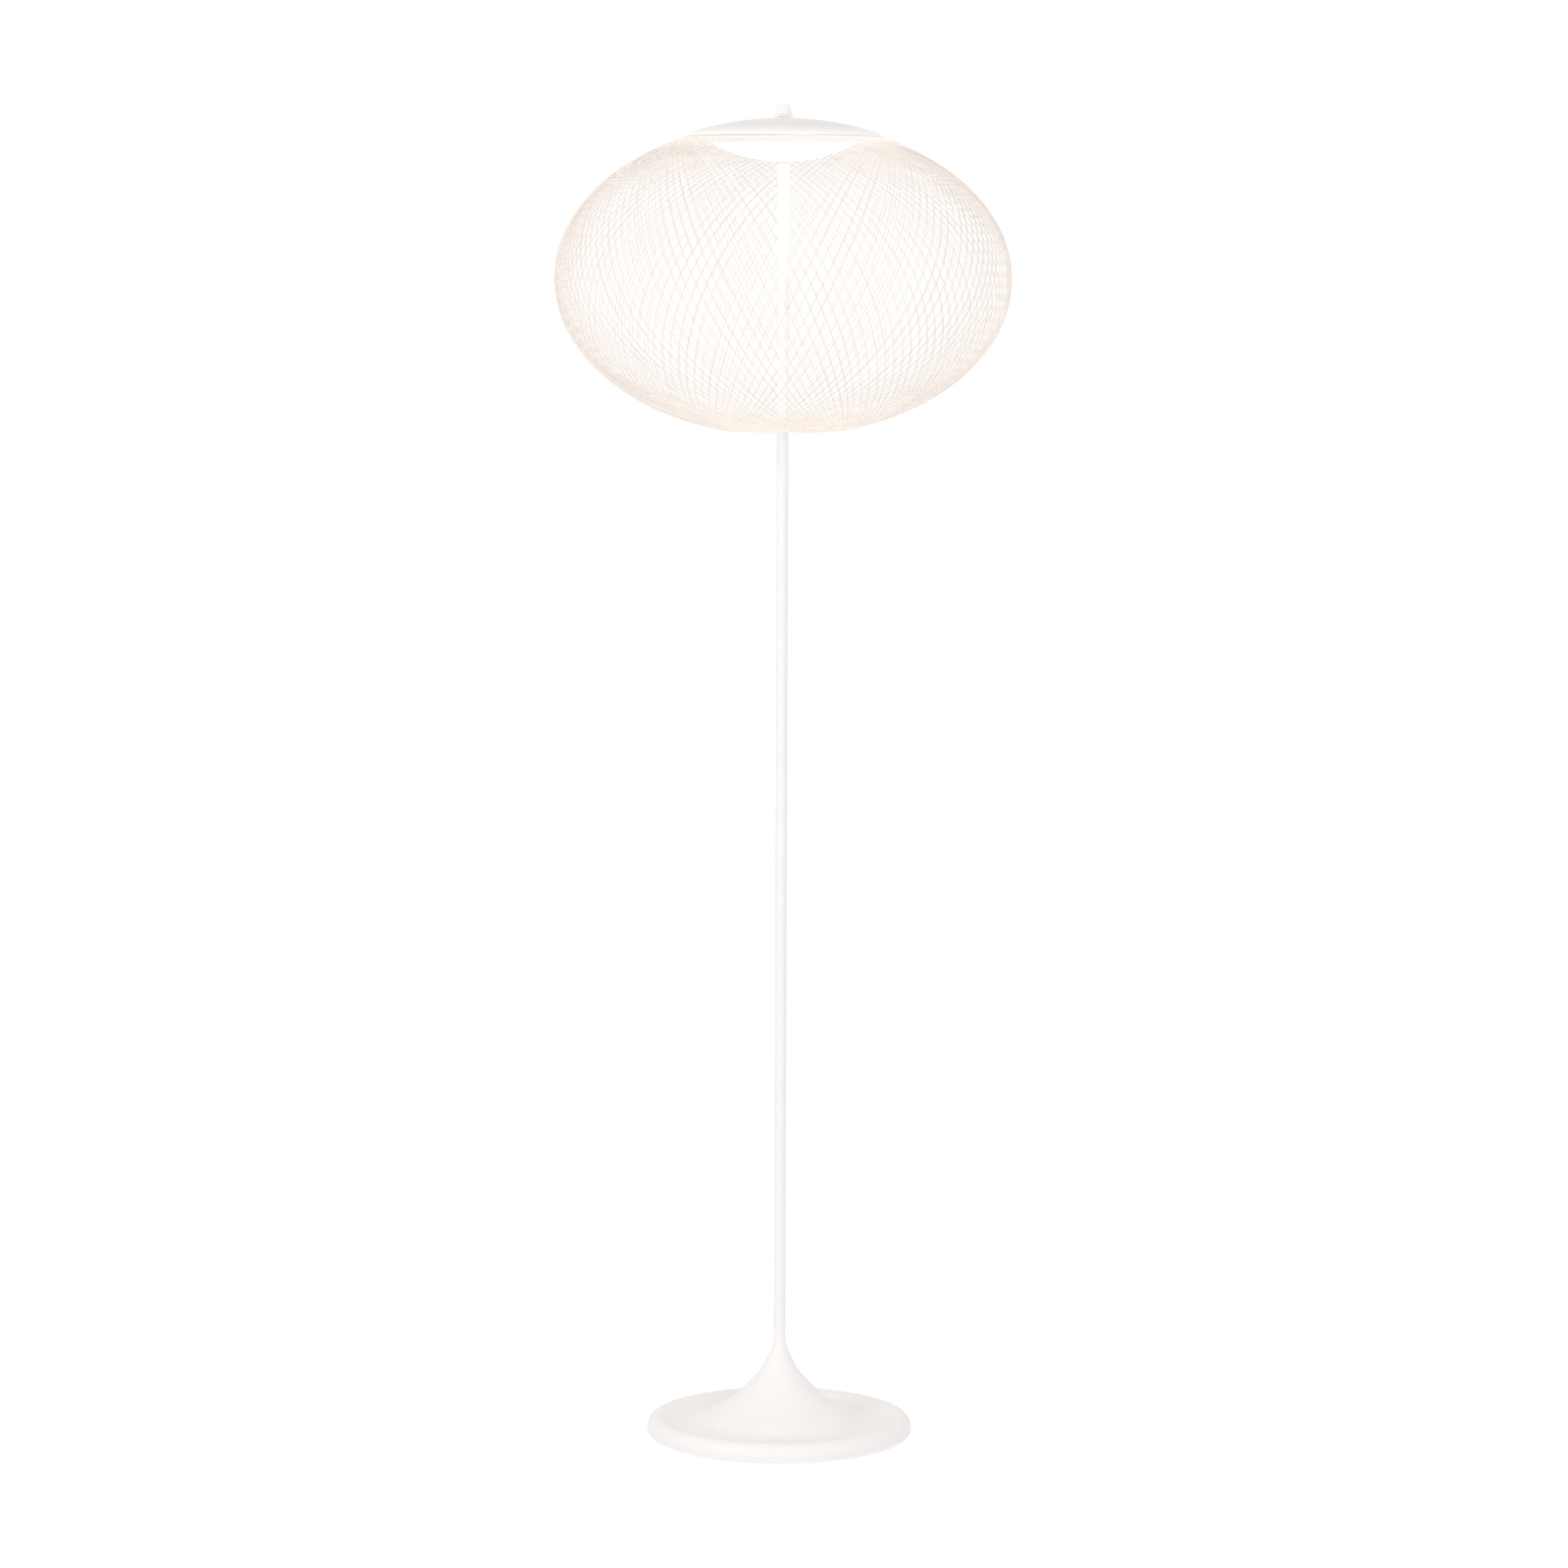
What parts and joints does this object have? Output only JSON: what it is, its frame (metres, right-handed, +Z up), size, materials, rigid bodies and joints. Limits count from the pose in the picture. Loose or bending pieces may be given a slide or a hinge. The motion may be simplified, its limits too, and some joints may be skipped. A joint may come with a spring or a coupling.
{
  "type": "floor lamp",
  "caption": "Floor lamp with a flattened globe shade of wound thread on a slim pole and a trumpet-shaped foot, with a lit bowl under a dome cap and a turning push knob on top.",
  "frame": {"origin": "centre of the foot's underside, on the floor, under the pole's axis", "axes": "+Z up along the pole; +Y to the rear, where the supply inlet is; +X to the right seen from the front"},
  "size_m": [0.63, 0.6298, 1.8582],
  "materials": {
    "white_lacquer": "smooth satin white powder coat",
    "shade_thread": "resin-stiffened white thread",
    "opal_bowl": "opal white, lit from inside",
    "clear_knob": "clear moulded, polished",
    "white_nylon": "fine moulded grain",
    "dimmer_case": "moulded black",
    "lead_sheath": "smooth white sheath",
    "seal_silicone": "soft translucent white",
    "pad_rubber": "matt, slightly textured",
    "plain_steel": "zinc plated",
    "brass_insert": "turned",
    "cast_aluminium": "turned, light satin",
    "ballast_iron": "rough cast, black paint",
    "board_white": "white solder mask",
    "led_yellow": "phosphor in clear resin"
  },
  "bodies": {
    "stand": {"foot_shell": "white_lacquer", "foot_pad": "pad_rubber", "bottom_plate": "plain_steel", "plate_screws": "plain_steel", "ballast_disc": "ballast_iron", "tie_rod": "plain_steel", "tie_rod_washer": "plain_steel", "tie_rod_nut": "plain_steel", "neck_insert": "brass_insert", "cable_gland": "white_nylon", "gland_nut": "white_nylon", "terminal_block": "white_nylon", "pole_tube": "white_lacquer", "pole_hub": "cast_aluminium", "hub_screws": "plain_steel", "inner_lead": "lead_sheath", "wound_shade": "shade_thread", "shade_ring": "white_lacquer", "ring_screws": "plain_steel", "carrier_plate": "cast_aluminium", "led_board": "board_white", "led_packages": "led_yellow", "diffuser": "opal_bowl", "bowl_seal": "seal_silicone", "cap_shell": "white_lacquer", "dimmer_bracket": "plain_steel", "bracket_screws": "plain_steel", "dimmer_body": "dimmer_case", "cap_collar": "white_lacquer", "cap_nut": "plain_steel", "plunger_spring": "plain_steel", "driver_case": "dimmer_case", "driver_screws": "plain_steel", "dimmer_lead": "lead_sheath"},
    "plunger": {"switch_plunger": "dimmer_case"},
    "knob": {"dimmer_shaft": "plain_steel", "knob_shell": "clear_knob", "knob_core": "white_nylon"}
  },
  "joints": [
    {"name": "knob_push", "type": "slide", "parent": "stand", "child": "plunger", "axis": [0, 0, -1], "range_m": [0, 0.0015], "stiffness_N_per_m": 400, "springref_m": -0.003, "deforming": ["plunger_spring"]},
    {"name": "knob_turn", "type": "hinge", "parent": "plunger", "child": "knob", "pos_m": [0, 0, 1.845], "axis": [0, 0, 1], "range_deg": [-150, 150]}
  ]
}
